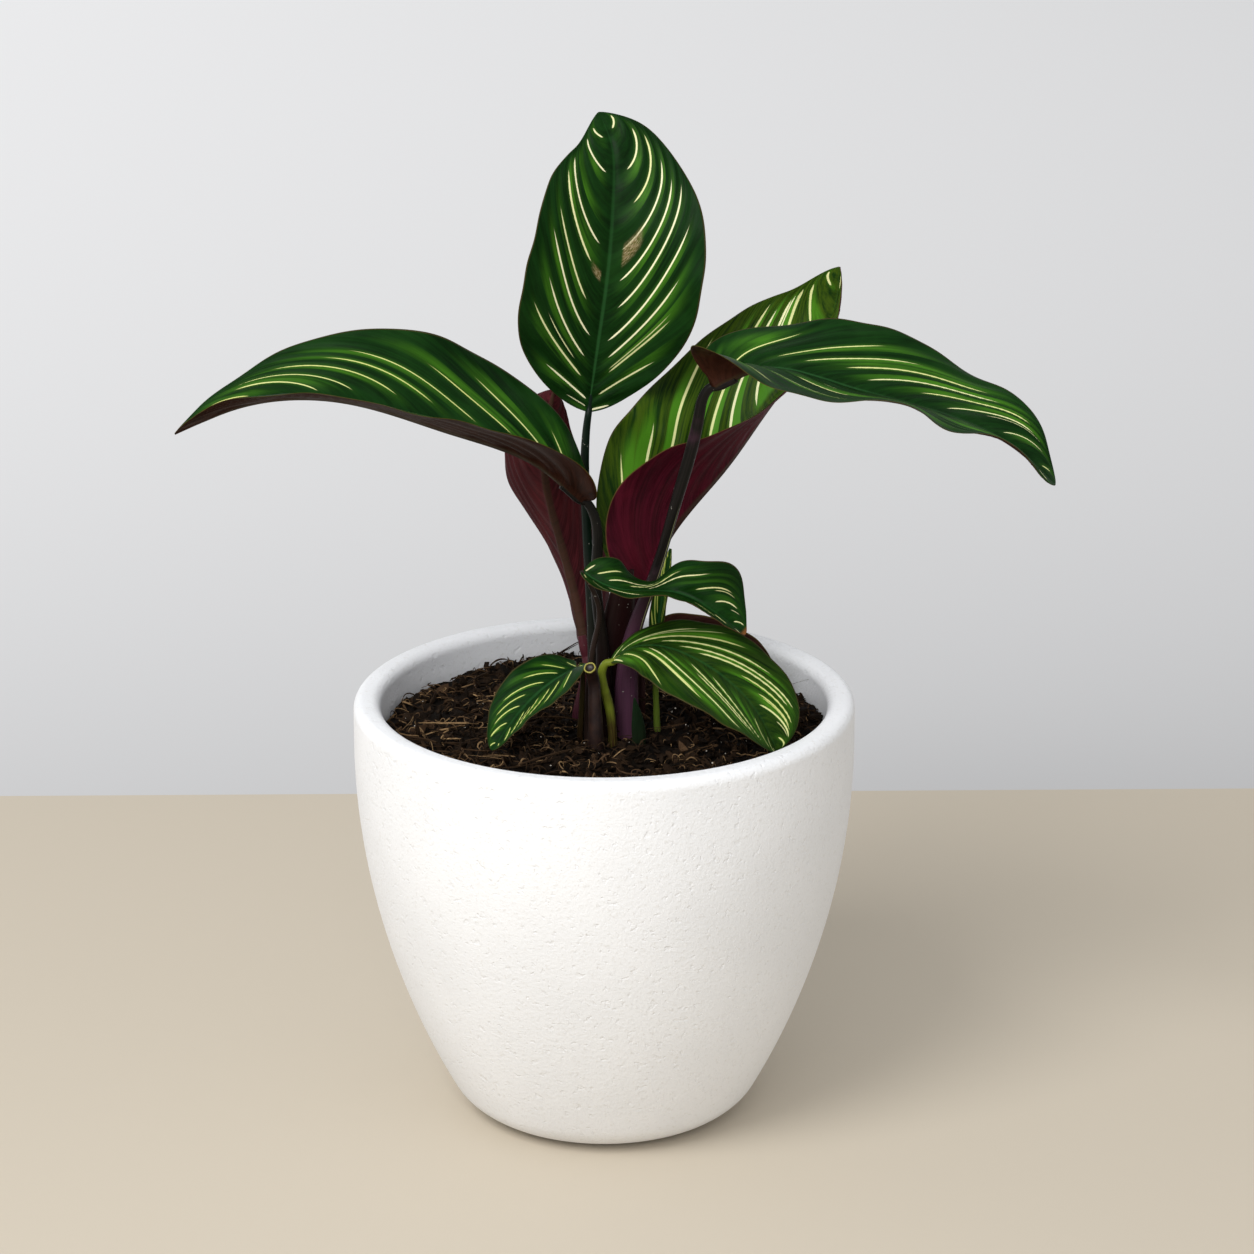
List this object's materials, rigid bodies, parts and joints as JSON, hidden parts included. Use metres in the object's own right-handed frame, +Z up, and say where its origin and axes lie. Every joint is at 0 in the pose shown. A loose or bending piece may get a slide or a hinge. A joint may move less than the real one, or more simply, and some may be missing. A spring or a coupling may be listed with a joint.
{
  "type": "potted plant",
  "caption": "Young pin-stripe calathea with arching striped leaves on slim stems, growing in potting soil in a round tapered white pot that stands on a flat base.",
  "frame": {"origin": "centre of the flat base the pot stands on", "axes": "+Z up along the pot's axis, towards the leaves; -Y towards the viewer; +X to the viewer's right"},
  "size_m": [0.3364, 0.2, 0.4032],
  "materials": {
    "pot": "matt, finely sandy white",
    "soil": "damp bark and coir crumbs",
    "blade": "satin leaf, green above with cream stripes, wine red beneath",
    "dark_stem": "satin near-black green",
    "purple_stem": "satin brown purple",
    "light_stem": "satin yellow green"
  },
  "bodies": {
    "root": {"pot": "pot", "soil": "soil", "upright_blade": "blade", "left_blade": "blade", "right_blade": "blade", "cupped_blade": "blade", "rolled_blade": "blade", "wavy_blade": "blade", "low_right_blade": "blade", "low_left_blade": "blade", "low_back_blade": "blade", "young_blade": "blade", "upright_stem": "dark_stem", "left_stem": "dark_stem", "right_stem": "dark_stem", "wavy_stem": "dark_stem", "low_left_stem": "dark_stem", "cupped_stem": "purple_stem", "rolled_stem": "purple_stem", "low_back_stem": "purple_stem", "cut_stub": "purple_stem", "low_right_stem": "light_stem", "young_stem": "light_stem", "bract": "light_stem"}
  },
  "joints": []
}
